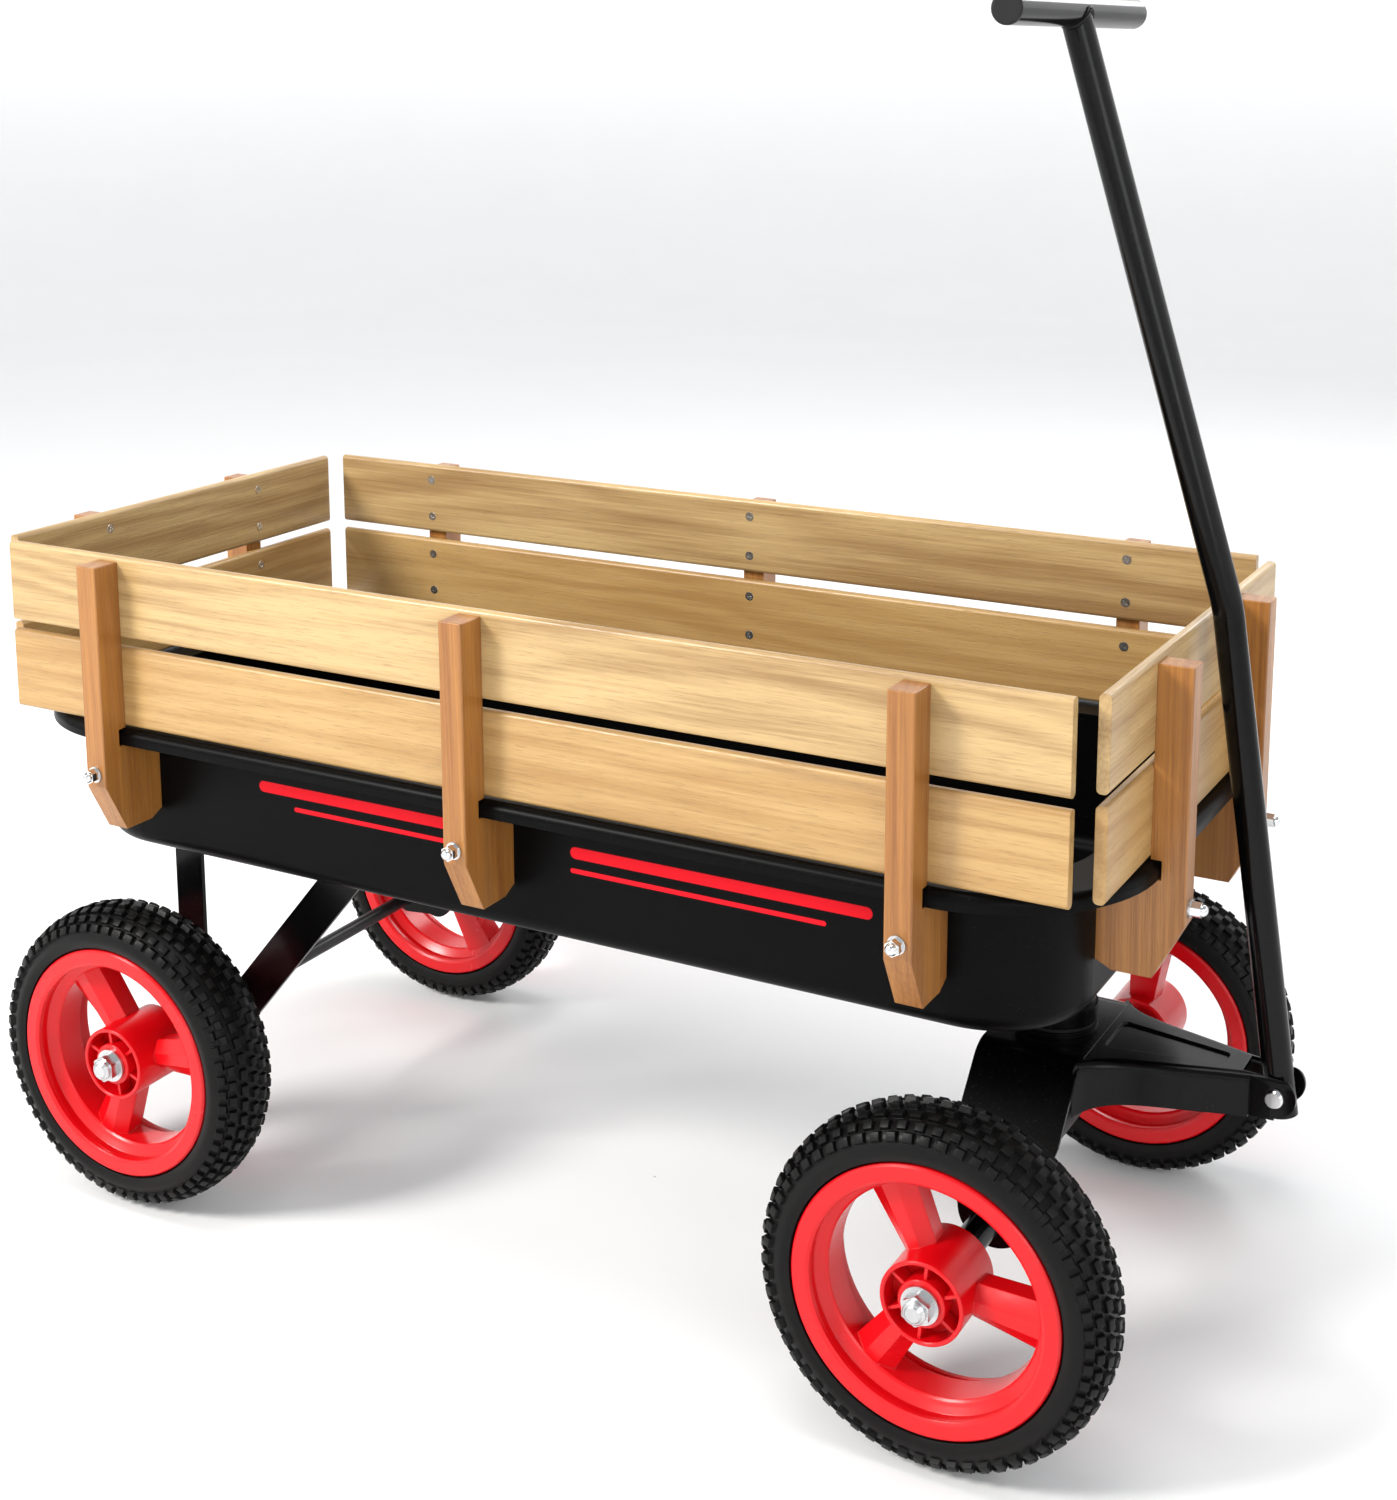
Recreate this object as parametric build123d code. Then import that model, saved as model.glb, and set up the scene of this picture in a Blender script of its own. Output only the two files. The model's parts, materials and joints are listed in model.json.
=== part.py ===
from build123d import *
import math
import os

# Kids' pull wagon: pressed steel tray, slatted wooden sides, foam-tyred wheels, steering bolster, handle.
# Millimetres, +Z up, +X to the handle end, wheels on z = 0, origin under the middle of the overall length.
# Sub-parts are built about the middle of the tray and moved to the origin when they are written.

# ---------------------------------------------------------------- driving sizes
wheel_d = 254.0              # overall diameter of all four tyres
tyre_w = 60.0
track = 448.0                # between the middles of the two wheels of an axle
rear_axle_x = -340.0
front_axle_x = 374.0

rim_half_x = 480.0           # tray, out to the edge of its turned-down rim
rim_half_y = 227.5
rim_corner_r = 118.0
flange_w = 43.0              # flat rim between tray wall and rim edge
rim_top_z = 404.0
lip_h = 12.0
lip_r = 7.0
tray_depth = 117.0
tray_floor_r = 14.0
sheet_t = 1.5

board_t = 8.5
board_h = 66.0
board_gap = 7.5
board_edge_r = 3.4
board_lift = 1.5             # from the tray rim up to the lower board
board_inset = 6.5            # from the rim edge in to a board's outer face
corner_gap = 10.0            # between a side board's end and the end panel
end_board_half_y = 202.0

stake_w = 20.0
stake_d = 25.0               # how far a stake stands out from its boards
stake_drop = 4.0             # stake top below the top of the boards
stake_edge_r = 1.6
side_stake_x = (-347.5, 1.0, 349.5)
end_stake_y = (-97.0, 97.0)
foot_bottom_z = 320.0
foot_chamfer_z = 361.0       # where the outer face starts to slope in
foot_flat = 40.0             # length of the foot's level bottom
slot_gap = 1.2               # room round the rim in a stake's slot
slot_top_gap = 0.6           # from the rim's top up to the stake's notch
foot_toe = 6.0               # height of the foot's small lead-in at the tray wall
foot_toe_len = 12.0
stake_bolt_z = 371.0

bolt_d = 6.0
bolt_play = 0.2
bolt_head_d = 14.0
bolt_head_h = 3.2
stud_nut_h = 5.0
stud_tail = 3.0              # a floor stud's end past its nut
washer_d = 13.0
washer_t = 1.5
cap_nut_af = 10.0
cap_nut_h = 7.0
cap_dome_r = 4.5
corner_trim = 1.12           # a nut's rounded corners, as a share of its width across flats
screw_play = 0.1
screw_d = 4.0
screw_head_d = 8.0
screw_len = 26.0
screw_edge = 15.0            # screw centre from a board's long edge

axle_d = 12.7
axle_play = 0.15             # between the axle and what it is fixed through
running_play = 0.07          # radial play of a part that turns
side_play = 0.4              # gap along an axle beside a part that turns
nut_af = 19.0
nut_h = 11.0
axle_washer_d = 27.0
axle_washer_t = 2.0
axle_end = 1.0               # axle past its nuts
axle_end_chamfer = 1.2
sleeve_d = 22.0

strap_t = 4.0
leg_w = 28.0
brace_w = 32.0
leg_y = 150.0                # inner face of a rear leg
brace_foot_x = 34.0          # level stretch of a brace ahead of the axle
brace_foot_rise = 3.0
brace_reach = 165.0          # from the axle to the brace's top end
strap_tab = 34.0
tab_bolt = 18.7              # from a strap's inner face in to its tab's bolt

saddle_half_x = 39.0         # bolster, fore and aft
saddle_top_z = 222.0
saddle_flat_y = 60.0
saddle_leg_y = 124.0
saddle_knee_z = 150.0
saddle_t = 3.0
saddle_knee_r = 26.0
saddle_back_taper = 12.0     # side edges start to narrow this far above the knee
saddle_front_taper = 24.0
leg_end_r = 27.0
tongue_skirt = 32.0
tongue_round = 7.0
tongue_root_half = 66.0      # half width where the tongue leaves the saddle
tongue_waist_half = 43.0
tongue_neck_half = 30.0
recess_depth = 1.8           # pressed channel along the tongue's top
recess_root_half = 24.0
recess_tip_half = 9.0
recess_gap = 14.0            # from the pedestal's boss to the channel
tongue_step = 0.4            # the tongue's top lies this far under the saddle's

pedestal_d = 62.0
pedestal_flange_d = 104.0
pedestal_collar_h = 12.0
bearing_t = 3.0
boss_h = 3.0
kingpin_d = 12.7
kingpin_drop = 26.0          # pin below the bolster's top
kingpin_top = 12.0           # pin's end below the tray

pivot_x = 543.0
pivot_z = 207.0
pivot_d = 8.0
ear_r = 15.0
ear_half_gap = 12.6          # half the space between the two ears
handle_d = 22.0
handle_wall = 1.6
pivot_head_r = 7.5
pivot_head_h = 5.0
pivot_nut_af = 13.0
pivot_dome_r = 5.6
pivot_washer_r = 8.0
spacer_t = 1.2
spacer_gap = 0.25
foot_below_pivot = 18.0
lower_lean = 8.6             # degrees back from upright, below the bend
upper_lean = 17.0
lower_len = 354.0
upper_len = 427.7
bend_r = 140.0
grip_len = 262.0
grip_d = 22.0
cap_h = 3.0
cap_plug = 12.0

hub_len = 54.0
hub_offset = 2.5             # the hub's middle lies this far outside the rim's
hub_r = 30.0
hub_wall = 3.2
hub_core_r = 17.0
hub_cup = 16.0               # depth of the ring-shaped pocket in the hub's outer face
hub_back_cup = 12.0
hub_rib_t = 2.4
hub_bore_play = 1.2          # between the axle and the hub's plastic, between the bushes
bush_r = 9.0
bush_flange_r = 12.0
bush_flange_t = 1.6
bush_len = 16.0
rim_w = 58.0
rim_lip_r = 96.5
rim_lip_t = 4.5
rim_seat_r = 88.0
rim_inner_r = 83.0
rim_web_r = 76.0             # the raised ring inside the drum, which the spokes meet
rim_web_w = 26.0
spoke_hub_w = 25.0
spoke_rim_w = 36.0
spoke_depth = 26.0
spoke_ridge = 9.0            # height of the ridge at the hub
spoke_rim_ridge = 6.0
spokes = 3
tyre_fit = 0.1               # gap between the tyre and the rim
wheel_turn = {                # the angle at which each wheel stands
    "front_right": 55.0, "rear_right": 69.0,
    "front_left": 35.0, "rear_left": 60.0,
}
past = 999.0                 # a cutting tool's reach beyond the piece that it cuts

# ---------------------------------------------------------------- worked-out sizes
wall_x = rim_half_x - flange_w
wall_y = rim_half_y - flange_w
wall_r = rim_corner_r - flange_w
tray_z = rim_top_z - tray_depth
floor_z = tray_z + sheet_t
side_face_y = rim_half_y - board_inset
end_face_x = rim_half_x - board_inset
side_board_half_x = end_face_x - board_t - corner_gap
low_board_z = rim_top_z + board_lift
board_zs = (low_board_z, low_board_z + board_h + board_gap)
board_top_z = board_zs[1] + board_h
stake_top_z = board_top_z - stake_drop
stake_in = flange_w - board_inset          # from the wall out to the boards' outer face
stake_out = stake_in + stake_d
wheel_r = wheel_d / 2
axle_r = axle_d / 2
hub_face = hub_len / 2 + hub_offset        # outer hub face from the wheel's middle
hub_back = hub_face - hub_len
hub_face_y = track / 2 + hub_face
hub_back_y = track / 2 + hub_back
axle_half = hub_face_y + side_play + axle_washer_t + nut_h + axle_end
stake_nut_out = stake_out + washer_t + cap_nut_h + cap_dome_r
rear_x = -(wall_x + stake_nut_out)
front_x = pivot_x + ear_r
origin_x = (rear_x + front_x) / 2
lower_angle = math.radians(lower_lean)
upper_angle = math.radians(upper_lean)
grip_x = pivot_x - lower_len * math.sin(lower_angle) - upper_len * math.sin(upper_angle)
grip_z = pivot_z + lower_len * math.cos(lower_angle) + upper_len * math.cos(upper_angle)


# ---------------------------------------------------------------- helpers
def block(x0, x1, y0, y1, z0, z1):
    """A box between two corners."""
    return Pos((x0 + x1) / 2, (y0 + y1) / 2, (z0 + z1) / 2) * Box(x1 - x0, y1 - y0, z1 - z0)


def rod_z(r, z0, z1, x=0.0, y=0.0):
    """A round bar along Z."""
    return Pos(x, y, (z0 + z1) / 2) * Cylinder(r, z1 - z0)


def rod_y(r, y0, y1, x=0.0, z=0.0):
    """A round bar along Y."""
    return Pos(x, (y0 + y1) / 2, z) * Rot(90, 0, 0) * Cylinder(r, y1 - y0)


def rod_x(r, x0, x1, y=0.0, z=0.0):
    """A round bar along X."""
    return Pos((x0 + x1) / 2, y, z) * Rot(0, 90, 0) * Cylinder(r, x1 - x0)


def slab(half_x, half_y, r, z0, z1):
    """A level plate with round corners."""
    return Pos(0, 0, z0) * extrude(RectangleRounded(2 * half_x, 2 * half_y, r), amount=z1 - z0)


def edges_at(shape, z):
    """All edges that lie at one height."""
    return shape.edges().filter_by_position(Axis.Z, z - 0.01, z + 0.01)


def slot_xz(p, q, width, y0, y1):
    """A flat strap in the XZ plane with round ends centred on p and q, from y0 to y1."""
    length = math.hypot(q[0] - p[0], q[1] - p[1])
    angle = math.degrees(math.atan2(q[1] - p[1], q[0] - p[0]))
    flat = extrude(SlotCenterToCenter(length, width), amount=(y1 - y0) / 2, both=True)
    middle = Pos((p[0] + q[0]) / 2, (y0 + y1) / 2, (p[1] + q[1]) / 2)
    return middle * Rot(0, -angle, 0) * Rot(90, 0, 0) * flat


def save(node, *shapes):
    """Write one node, moved from the tray's middle to the wagon's origin."""
    solids = []
    for shape in shapes:
        solids += (Pos(-origin_x, 0, 0) * shape).solids()
    export_step(solids[0] if len(solids) == 1 else Compound(children=solids), f"parts/{node}.step")


# ---------------------------------------------------------------- tray
def stake_places():
    """Every stake as (name, its wall's turn about Z, distance to that wall, place along the wall)."""
    found = []
    for place, x in zip(("rear", "middle", "front"), side_stake_x):
        found.append((f"stake_right_{place}", -90, wall_y, x))
        found.append((f"stake_left_{place}", 90, wall_y, -x))
    for place, y in zip(("right", "left"), end_stake_y):
        found.append((f"stake_front_{place}", 0, wall_x, y))
        found.append((f"stake_rear_{place}", 180, wall_x, -y))
    return found


def at_stake(turn, wall, along):
    """The place of a stake: its +X leads out of the tray, its Y runs along the wall."""
    return Rot(0, 0, turn) * Pos(wall, along, 0)


def stud_spots():
    """Where studs are welded under the tray floor, for the rear legs and braces and for the pedestal."""
    inner = leg_y - tab_bolt
    spots = []
    for side in (-1, 1):
        spots.append((rear_axle_x, side * inner, strap_t))
        spots.append((rear_axle_x + brace_reach, side * (inner - strap_t), strap_t))
    ring = (pedestal_d + pedestal_flange_d) / 4
    for turn in (45, 135, 225, 315):
        angle = math.radians(turn)
        spots.append((front_axle_x + ring * math.cos(angle), ring * math.sin(angle), boss_h))
    return spots


def make_tray():
    pan = slab(wall_x, wall_y, wall_r, tray_z, rim_top_z)
    pan = fillet(edges_at(pan, tray_z), tray_floor_r)
    plate = slab(rim_half_x, rim_half_y, rim_corner_r, rim_top_z - lip_h, rim_top_z)
    plate = fillet(edges_at(plate, rim_top_z), lip_r)
    under = slab(rim_half_x - sheet_t, rim_half_y - sheet_t, rim_corner_r - sheet_t,
                 rim_top_z - lip_h, rim_top_z - sheet_t)
    under = fillet(edges_at(under, rim_top_z - sheet_t), lip_r - sheet_t)
    hollow = slab(wall_x - sheet_t, wall_y - sheet_t, wall_r - sheet_t, floor_z, rim_top_z)
    hollow = fillet(edges_at(hollow, floor_z), tray_floor_r - sheet_t)
    tray = (plate - under + pan) - hollow
    hole = bolt_d / 2 + bolt_play
    for _, turn, wall, along in stake_places():
        tray -= at_stake(turn, wall, along) * rod_x(hole, -3 * sheet_t, sheet_t, z=stake_bolt_z)
    return tray


# ---------------------------------------------------------------- slatted sides
def make_board(half_len, z, across):
    """A board along X with eased edges and softly rounded ends; across is the y of its outer face."""
    board = block(-half_len, half_len, across, across + board_t, z, z + board_h)
    return fillet(board.edges().filter_by(Axis.X), board_edge_r)


def screw_heights():
    return [z + edge for z in board_zs for edge in (screw_edge, board_h - screw_edge)]


def make_screw(play=0.0):
    """A countersunk wood screw from a board's inner face out into the stake, head at x = 0, along +X."""
    r, head = screw_d / 2 + play, screw_head_d / 2 + play
    shank = rod_x(r, 0, screw_len)
    cone = Pos(head / 2, 0, 0) * Rot(0, 90, 0) * Cone(head, 0.01, head)
    return shank + cone


def with_screws(shape, turn, wall, along):
    """Cut the holes of one stake's screws."""
    for z in screw_heights():
        shape -= at_stake(turn, wall, along) * Pos(stake_in - board_t, 0, z) * make_screw(screw_play)
    return shape


def make_stake():
    """An upright with a slot for the tray rim and a foot that reaches in to the tray wall."""
    slot_low = rim_top_z - lip_h - slot_gap
    notch_z = rim_top_z + slot_top_gap
    slot_in = flange_w - sheet_t - 2 * slot_gap
    slot_out = flange_w + slot_gap
    under_rim = rim_top_z - sheet_t - 2 * slot_gap
    outline = [
        (stake_in, stake_top_z), (stake_in, notch_z), (slot_out, notch_z), (slot_out, slot_low),
        (slot_in, slot_low), (slot_in, under_rim), (0, under_rim),
        (0, foot_bottom_z + foot_toe), (foot_toe_len, foot_bottom_z), (foot_flat, foot_bottom_z),
        (stake_out, foot_chamfer_z), (stake_out, stake_top_z),
    ]
    face = make_face(Polyline(*[(x, 0, z) for x, z in outline], close=True))
    stake = extrude(face, amount=stake_w / 2, both=True)
    outer = stake.edges().filter_by(Axis.Z).filter_by_position(Axis.X, stake_out - 0.1, stake_out + 0.1)
    stake = fillet(outer, stake_edge_r)
    stake = fillet(edges_at(stake, stake_top_z).group_by(Axis.X)[-1], stake_edge_r * 0.6)
    stake -= rod_x(bolt_d / 2 + bolt_play, -1, stake_out + 1, z=stake_bolt_z)
    return stake


# ---------------------------------------------------------------- fasteners
def make_hex(af, height):
    """A hexagon along +X from x = 0."""
    prism = extrude(RegularPolygon(af / 2, 6, major_radius=False), amount=height)
    return Rot(0, 90, 0) * prism


def make_cap_nut():
    """A domed nut, bored for its bolt, seated at x = 0."""
    dome = Pos(cap_nut_h, 0, 0) * Sphere(cap_dome_r)
    hexagon = make_hex(cap_nut_af, cap_nut_h) & rod_x(cap_nut_af * corner_trim / 2, 0, cap_nut_h)
    nut = hexagon + (dome & block(0, past, -past, past, -past, past))
    return nut - rod_x(bolt_d / 2, -1, cap_nut_h)


def make_stake_bolt():
    """A round-headed bolt from inside the tray, head against the wall's inner face at x = -sheet_t."""
    head = Pos(-sheet_t, 0, 0) * Sphere(bolt_head_d / 2)
    head = head & block(-sheet_t - bolt_head_h, -sheet_t, -past, past, -past, past)
    return head + rod_x(bolt_d / 2, -sheet_t, stake_out + washer_t + cap_nut_h - 0.5)


def make_washer(outer_r, inner_r, thick):
    """A washer along +X from x = 0."""
    return rod_x(outer_r, 0, thick) - rod_x(inner_r, -1, thick + 1)


def make_floor_stud(x, y, below):
    """A stud welded under the tray floor, with its nut under a strap or flange of thickness below."""
    low = tray_z - below
    stud = rod_z(bolt_d / 2, low - stud_nut_h - stud_tail, tray_z, x, y)
    prism = extrude(RegularPolygon(cap_nut_af / 2, 6, major_radius=False), amount=stud_nut_h)
    return stud + Pos(x, y, low - stud_nut_h) * prism


# ---------------------------------------------------------------- rear frame
def make_rear_leg(side):
    """A flat strap from an eye on the axle up to a tab bent in under the tray."""
    outer = leg_y + strap_t
    upright = slot_xz((rear_axle_x, wheel_r), (rear_axle_x, tray_z + leg_w), leg_w, leg_y, outer)
    upright &= block(-past, past, leg_y - 1, outer + 1, 0, tray_z)
    tab = block(rear_axle_x - leg_w / 2, rear_axle_x + leg_w / 2, leg_y - strap_tab, outer,
                tray_z - strap_t, tray_z)
    leg = upright + tab
    heel = leg.edges().filter_by(Axis.X).filter_by_position(Axis.Z, tray_z - 0.1, tray_z + 0.1)
    leg = fillet(heel.sort_by(Axis.Y)[-1], strap_t * 0.9)
    leg -= rod_y(axle_r + axle_play, 0, past, rear_axle_x, wheel_r)
    leg -= rod_z(bolt_d / 2 + bolt_play, 0, past, rear_axle_x, leg_y - tab_bolt)
    return leg if side > 0 else mirror(leg, Plane.XZ)


def make_brace(side):
    """A diagonal strap from the axle forward and up to a tab under the tray."""
    inner, outer = leg_y - strap_t, leg_y
    foot = (rear_axle_x + brace_foot_x, wheel_r + brace_foot_rise)
    top = (rear_axle_x + brace_reach, tray_z)
    strap = slot_xz((rear_axle_x, wheel_r), foot, leg_w, inner, outer)
    strap += slot_xz(foot, top, brace_w, inner, outer)
    strap &= block(-past, past, inner - 1, outer + 1, 0, tray_z)
    tab = block(top[0] - brace_w * 0.6, top[0] + brace_w * 0.6, inner - strap_tab, outer,
                tray_z - strap_t, tray_z)
    brace = strap + tab
    brace -= rod_y(axle_r + axle_play, 0, past, rear_axle_x, wheel_r)
    brace -= rod_z(bolt_d / 2 + bolt_play, 0, past, top[0], inner - tab_bolt)
    return brace if side > 0 else mirror(brace, Plane.XZ)


# ---------------------------------------------------------------- axles
def make_axle(x):
    axle = rod_y(axle_r, -axle_half, axle_half, x, wheel_r)
    return chamfer(axle.edges().filter_by(GeomType.CIRCLE), axle_end_chamfer)


def make_sleeve(x, inner_y):
    """Two spacer tubes on an axle, from the frame out to the wheels."""
    tube = rod_y(sleeve_d / 2, inner_y, hub_back_y - side_play, x, wheel_r)
    tube -= rod_y(axle_r + axle_play, inner_y - 1, hub_back_y, x, wheel_r)
    return [tube, mirror(tube, Plane.XZ)]


def make_axle_washers(x):
    ring = make_washer(axle_washer_d / 2, axle_r + axle_play, axle_washer_t)
    seat = hub_face_y + side_play
    return [Pos(x, s * seat, wheel_r) * Rot(0, 0, 90 * s) * ring for s in (-1, 1)]


def make_axle_nuts(x):
    """Lock nuts: a hexagon with a round collar, one at each end of the axle."""
    seat = hub_face_y + side_play + axle_washer_t
    hexagon = make_hex(nut_af, nut_h * 0.7) & rod_x(nut_af * corner_trim / 2, 0, nut_h)
    nut = hexagon + rod_x(nut_af * 0.44, 0, nut_h)
    nut = chamfer(nut.edges().group_by(Axis.X)[-1], 1.2)
    nut -= rod_x(axle_r, -1, nut_h + 1)
    return [Pos(x, s * seat, wheel_r) * Rot(0, 0, 90 * s) * nut for s in (-1, 1)]


# ---------------------------------------------------------------- wheels
def make_tyre():
    """A foam tyre about the Y axis with a soft-shouldered crown and a groove round each bead."""
    half, crown = tyre_w / 2, wheel_r
    seat, bead = rim_seat_r + tyre_fit, rim_lip_r + 1.0
    bead_y = rim_w / 2 - rim_lip_t - tyre_fit
    right = [(seat, bead_y), (bead, bead_y), (bead, half - 1), (crown - 14, half), (crown - 5, half - 5),
             (crown - 1, half * 0.45)]
    left = [(r, -y) for r, y in reversed(right)]
    profile = Polyline(*right, (crown, 0), *left, close=True)
    ring = revolve(make_face(Plane.XY * profile), Axis.Y)
    shoulder = ring.edges().filter_by(GeomType.CIRCLE).filter_by(lambda e: e.radius > crown - 15)
    return fillet(shoulder, 2.0)


def make_spoke():
    """One spoke along +X: a ridged bar, broader and flatter at the rim."""
    def section(r, width, ridge):
        low, deck = -spoke_depth / 2, spoke_depth / 2 - ridge
        points = [(r, low, -width * 0.42), (r, low, width * 0.42), (r, deck, width / 2),
                  (r, deck + ridge, width * 0.16), (r, deck + ridge, -width * 0.16), (r, deck, -width / 2)]
        return make_face(Polyline(*points, close=True))
    return loft([section(hub_r - 2.0, spoke_hub_w, spoke_ridge),
                 section(rim_inner_r + 1.5, spoke_rim_w, spoke_rim_ridge)])


def make_rim():
    """The moulded wheel: two lips on a drum, three spokes and a long hub, outer side towards +Y."""
    half, step = rim_w / 2, 1.5
    web = rim_web_w / 2
    outer = [(rim_web_r, web - step), (rim_web_r + step, web), (rim_inner_r - 2 * step, web + step),
             (rim_inner_r + step, web + 3 * step), (rim_inner_r, half - 5), (rim_inner_r, half - step),
             (rim_inner_r + 2.5, half), (rim_lip_r - step, half), (rim_lip_r, half - step),
             (rim_lip_r, half - rim_lip_t), (rim_seat_r, half - rim_lip_t)]
    inner = [(r, -y) for r, y in reversed(outer)]
    rim = revolve(make_face(Plane.XY * Polyline(*outer, *inner, close=True)), Axis.Y)
    pocket_r = hub_r - hub_wall
    hub = rod_y(hub_r, hub_back, hub_face)
    hub -= rod_y(pocket_r, hub_face - hub_cup, past) + rod_y(pocket_r, -past, hub_back + hub_back_cup)
    hub += rod_y(hub_core_r, hub_back, hub_face)
    mouth = hub.edges().filter_by(GeomType.CIRCLE)
    hub = chamfer(mouth.filter_by_position(Axis.Y, hub_face - 0.1, hub_face + 0.1), 0.8)
    for turn in range(0, 360, 60):
        rib = block(hub_core_r - 1, pocket_r + 1, hub_face - hub_cup + 1, hub_face - 3,
                    -hub_rib_t / 2, hub_rib_t / 2)
        hub += Rot(0, turn + 30, 0) * rib
    rim += hub
    spoke = make_spoke()
    for n in range(spokes):
        rim += Rot(0, n * 360 / spokes, 0) * Pos(0, -1.0, 0) * spoke
    rim -= rod_y(axle_r + hub_bore_play, hub_back - 1, hub_face + 1)
    for y0, y1 in ((hub_back - 1, hub_back + bush_len), (hub_face - bush_len, hub_face + 1)):
        rim -= rod_y(bush_r, y0, y1)
    for y0, y1 in ((hub_back - 1, hub_back + bush_flange_t), (hub_face - bush_flange_t, hub_face + 1)):
        rim -= rod_y(bush_flange_r, y0, y1)
    return rim


def make_bushes():
    """Two flanged plain bearings in the ends of the hub."""
    found = []
    for seat, way in ((hub_back, 1), (hub_face, -1)):
        ends = sorted((seat, seat + way * bush_len))
        lip = sorted((seat, seat + way * bush_flange_t))
        bush = rod_y(bush_r, *ends) + rod_y(bush_flange_r, *lip)
        found.append(bush - rod_y(axle_r + running_play, ends[0] - 1, ends[1] + 1))
    return found


# ---------------------------------------------------------------- steering
def saddle_face(inset):
    """The bolster's end-on outline: a level top, sloping shoulders and upright legs."""
    top, flat, leg = saddle_top_z - inset, saddle_flat_y - inset * 0.45, saddle_leg_y - inset
    low = wheel_r - leg_end_r - (1 if inset else 0)
    outline = Polyline((0, -leg, low), (0, -leg, saddle_knee_z), (0, -flat, top), (0, flat, top),
                       (0, leg, saddle_knee_z), (0, leg, low), close=True)
    face = make_face(outline)
    corners = face.vertices().filter_by_position(Axis.Z, saddle_knee_z - 1, saddle_top_z + 1)
    return fillet(corners, saddle_knee_r - inset)


def skirt_section(x, half_y, low, inset):
    """One cross-section of the tongue at x, with round upper corners."""
    high = saddle_top_z - inset
    half = half_y - inset
    width, height = 2 * half, high - low
    across = Plane(origin=(x, 0, (high + low) / 2), x_dir=(0, 1, 0), z_dir=(1, 0, 0))
    face = across * Rectangle(width, height)
    return fillet(face.vertices().group_by(Axis.Z)[-1], tongue_round - inset)


def make_tongue(inset):
    """The tongue's solid form, from the saddle out to the ears."""
    root = front_axle_x + saddle_half_x - saddle_t
    tip = pivot_x + ear_r
    reach = tip - root
    low = saddle_top_z - tongue_skirt - (1 if inset else 0)
    ear = ear_half_gap + saddle_t
    stations = (
        (0.0, tongue_root_half, low - 8), (0.2, tongue_waist_half, low - 1), (0.5, tongue_neck_half, low),
        (0.8, ear + 2, low), (0.88, ear, low), (1.0, ear, low),
    )
    return loft([skirt_section(root + f * reach, half, bottom, inset) for f, half, bottom in stations])


def make_recess():
    """The cutter for the channel pressed into the tongue's top, narrower towards the ears."""
    start = front_axle_x + pedestal_d / 2 + recess_gap
    end = pivot_x - 2 * ear_r - 8
    top = saddle_top_z - tongue_step
    outline = Polyline((start, -recess_root_half), (end, -recess_tip_half), (end, recess_tip_half),
                       (start, recess_root_half), close=True)
    face = make_face(outline)
    face = fillet(face.vertices(), 5.0)
    return Pos(0, 0, top) * extrude(face, amount=-recess_depth, taper=30)


def make_bolster():
    """Pressed steel saddle over the front axle, with a tongue that ends in two ears."""
    outer, inner = (extrude(saddle_face(inset), amount=saddle_half_x, both=True) for inset in (0, saddle_t))
    saddle = Pos(front_axle_x, 0, 0) * (outer - inner)
    back, front = front_axle_x - saddle_half_x, front_axle_x + saddle_half_x
    side_view = Polyline(
        (back, 0, past), (back, 0, saddle_knee_z + saddle_back_taper),
        (front_axle_x - leg_end_r, 0, wheel_r),
        (front_axle_x + leg_end_r, 0, wheel_r), (front, 0, saddle_knee_z + saddle_front_taper),
        (front, 0, past), close=True)
    outline = extrude(make_face(side_view), amount=past, both=True)
    saddle &= outline + rod_y(leg_end_r, -past, past, front_axle_x, wheel_r)
    tongue = Pos(0, 0, -tongue_step) * (make_tongue(0) - make_tongue(saddle_t))
    bolster = saddle + tongue - make_recess()

    ear = ear_half_gap + saddle_t
    bolster -= block(pivot_x - ear_r - 9, past, -ear_half_gap, ear_half_gap, 0, past)
    for way in (-1, 1):
        low_y, high_y = sorted((way * ear, way * (ear + 9)))
        bolster -= block(pivot_x - ear_r - 3, past, low_y, high_y, 0, past)
    nose = block(pivot_x, past, -past, past, 0, past)
    bolster -= nose - rod_y(ear_r, -past, past, pivot_x, pivot_z)

    bolster += rod_z(pedestal_d / 2, saddle_top_z - 1, saddle_top_z + boss_h, front_axle_x)
    bolster -= rod_z(kingpin_d / 2 + running_play, 0, past, front_axle_x)
    bolster -= rod_y(pivot_d / 2 + running_play, -past, past, pivot_x, pivot_z)
    bolster -= rod_y(axle_r + axle_play, -past, past, front_axle_x, wheel_r)
    return bolster


def make_pedestal():
    """The fixed upper half of the turntable, bolted under the tray."""
    low = saddle_top_z + boss_h + side_play + bearing_t
    body = rod_z(pedestal_flange_d / 2, tray_z - boss_h, tray_z, front_axle_x)
    body += rod_z(pedestal_d / 2 - 2, low, tray_z, front_axle_x)
    body += rod_z(pedestal_d / 2, low, low + pedestal_collar_h, front_axle_x)
    body -= rod_z(kingpin_d / 2, 0, tray_z - kingpin_top, front_axle_x)
    for x, y, _ in stud_spots()[4:]:
        body -= rod_z(bolt_d / 2 + bolt_play, 0, past, x, y)
    return body


def make_bearing():
    low = saddle_top_z + boss_h + side_play
    ring = rod_z(pedestal_d / 2 - 1, low, low + bearing_t, front_axle_x)
    return ring - rod_z(kingpin_d / 2, 0, past, front_axle_x)


def make_kingpin():
    """A headless pin screwed up into the pedestal."""
    return rod_z(kingpin_d / 2, saddle_top_z - kingpin_drop, tray_z - kingpin_top, front_axle_x)


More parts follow.
